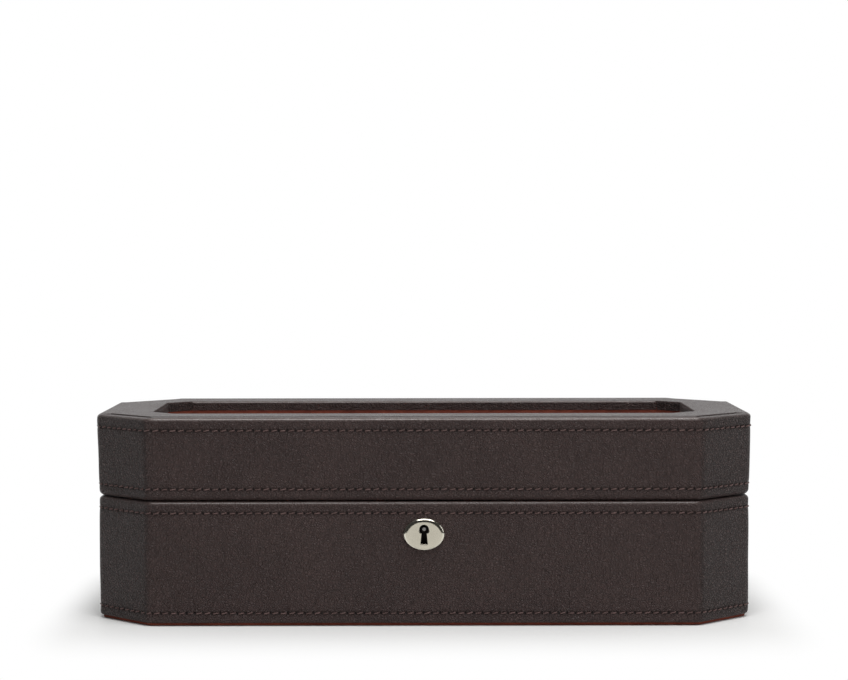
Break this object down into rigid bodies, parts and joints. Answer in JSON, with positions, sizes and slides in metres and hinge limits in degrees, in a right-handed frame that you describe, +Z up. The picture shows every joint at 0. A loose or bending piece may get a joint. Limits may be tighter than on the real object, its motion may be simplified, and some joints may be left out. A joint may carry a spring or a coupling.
{
  "type": "watch box",
  "caption": "Leather-covered watch box with cut corners, a hinged glass-topped lid, a lock in front and suede compartments with lift-out cushions.",
  "frame": {"origin": "under the middle of the box, on the surface it stands on", "axes": "+Z up, -Y out of the front with the lock, +X to the right along the width"},
  "size_m": [0.343, 0.148, 0.108],
  "materials": {
    "brown_leather": "satin",
    "rust_suede": "matte",
    "cushion_suede": "matte",
    "carcass_board": "matte",
    "clear_glass": "polished",
    "polished_nickel": "polished",
    "plain_steel": "satin"
  },
  "bodies": {
    "base": {"base_front_board": "carcass_board", "base_front_right_corner_board": "carcass_board", "base_right_board": "carcass_board", "base_rear_right_corner_board": "carcass_board", "base_rear_board": "carcass_board", "base_rear_left_corner_board": "carcass_board", "base_left_board": "carcass_board", "base_front_left_corner_board": "carcass_board", "base_floor_board": "carcass_board", "base_leather_band": "brown_leather", "bottom_panel": "rust_suede", "base_floor_lining": "rust_suede", "base_lining_panels": "rust_suede", "divider_1": "rust_suede", "divider_2": "rust_suede", "divider_3": "rust_suede", "divider_4": "rust_suede", "lock_escutcheon": "polished_nickel", "lock_selvedge": "polished_nickel", "lock_screws": "polished_nickel", "hinge_base_screws": "polished_nickel", "hinge_left_base_leaf": "polished_nickel", "hinge_left_pin": "polished_nickel", "hinge_right_base_leaf": "polished_nickel", "hinge_right_pin": "polished_nickel", "lock_case": "plain_steel", "lock_bolt_spring": "plain_steel", "lock_drill_pin": "plain_steel"},
    "lid": {"lid_front_board": "carcass_board", "lid_front_right_corner_board": "carcass_board", "lid_right_board": "carcass_board", "lid_rear_right_corner_board": "carcass_board", "lid_rear_board": "carcass_board", "lid_rear_left_corner_board": "carcass_board", "lid_left_board": "carcass_board", "lid_front_left_corner_board": "carcass_board", "lid_leather_band": "brown_leather", "lid_top_board": "carcass_board", "lid_top_leather": "brown_leather", "window_liner": "rust_suede", "window_glass": "clear_glass", "glass_retainer": "rust_suede", "lid_lining_panels": "rust_suede", "lid_link_plate": "polished_nickel", "link_plate_screws": "polished_nickel", "hinge_left_lid_leaf": "polished_nickel", "hinge_right_lid_leaf": "polished_nickel", "hinge_lid_screws": "polished_nickel"},
    "bolt": {"lock_bolt": "plain_steel"},
    "cushion_1": {"watch_cushion_1": "cushion_suede"},
    "cushion_2": {"watch_cushion_2": "cushion_suede"},
    "cushion_3": {"watch_cushion_3": "cushion_suede"},
    "cushion_4": {"watch_cushion_4": "cushion_suede"},
    "cushion_5": {"watch_cushion_5": "cushion_suede"}
  },
  "joints": [
    {"name": "lid_hinge", "type": "hinge", "parent": "base", "child": "lid", "pos_m": [0, 0.0712, 0.0647], "axis": [-1, 0, 0], "range_deg": [0, 98]},
    {"name": "bolt_slide", "type": "slide", "parent": "base", "child": "bolt", "axis": [1, 0, 0], "range_m": [0, 0.005]},
    {"name": "cushion_1_lift", "type": "slide", "parent": "base", "child": "cushion_1", "axis": [0, 0, 1], "range_m": [0, 0.036]},
    {"name": "cushion_2_lift", "type": "slide", "parent": "base", "child": "cushion_2", "axis": [0, 0, 1], "range_m": [0, 0.036]},
    {"name": "cushion_3_lift", "type": "slide", "parent": "base", "child": "cushion_3", "axis": [0, 0, 1], "range_m": [0, 0.036]},
    {"name": "cushion_4_lift", "type": "slide", "parent": "base", "child": "cushion_4", "axis": [0, 0, 1], "range_m": [0, 0.036]},
    {"name": "cushion_5_lift", "type": "slide", "parent": "base", "child": "cushion_5", "axis": [0, 0, 1], "range_m": [0, 0.036]}
  ]
}
